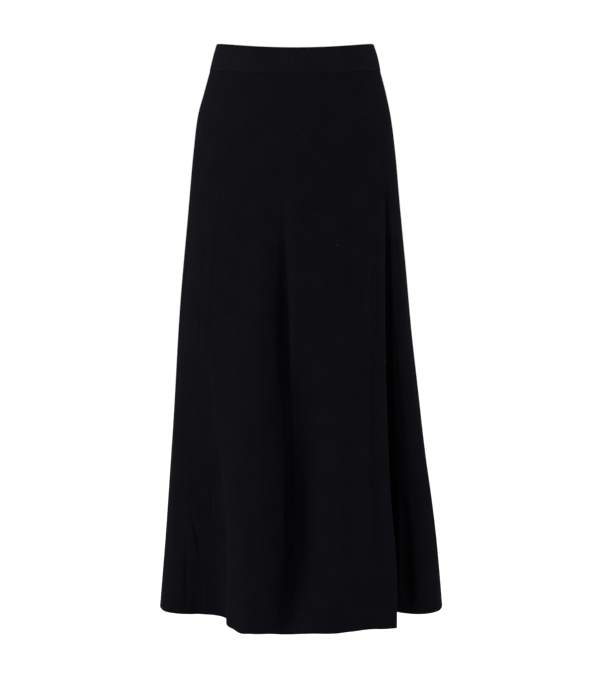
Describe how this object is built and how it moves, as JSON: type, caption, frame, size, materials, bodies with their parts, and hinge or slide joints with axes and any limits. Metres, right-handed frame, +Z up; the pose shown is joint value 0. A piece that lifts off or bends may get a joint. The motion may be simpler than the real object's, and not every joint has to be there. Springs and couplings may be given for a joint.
{
  "type": "midi skirt",
  "caption": "Pull-on A-line midi skirt in fine knit with a plain waistband, in its worn hollow shape, open at the waist and the hem, with long soft folds below the hips.",
  "frame": {"origin": "middle of the waist opening, level with the waistband's top edge at the sides", "axes": "+Z up along the skirt's length, -Y out of its front, +X to the right seen from the front"},
  "size_m": [0.4436, 0.2953, 0.8725],
  "materials": {
    "front_knit": "matt fine black jersey knit",
    "back_knit": "matt fine black jersey knit",
    "band_knit": "matt fine black jersey knit, two plies round an elastic"
  },
  "bodies": {
    "root": {"front_panel": "front_knit", "back_panel": "back_knit", "waistband": "band_knit"}
  },
  "joints": []
}
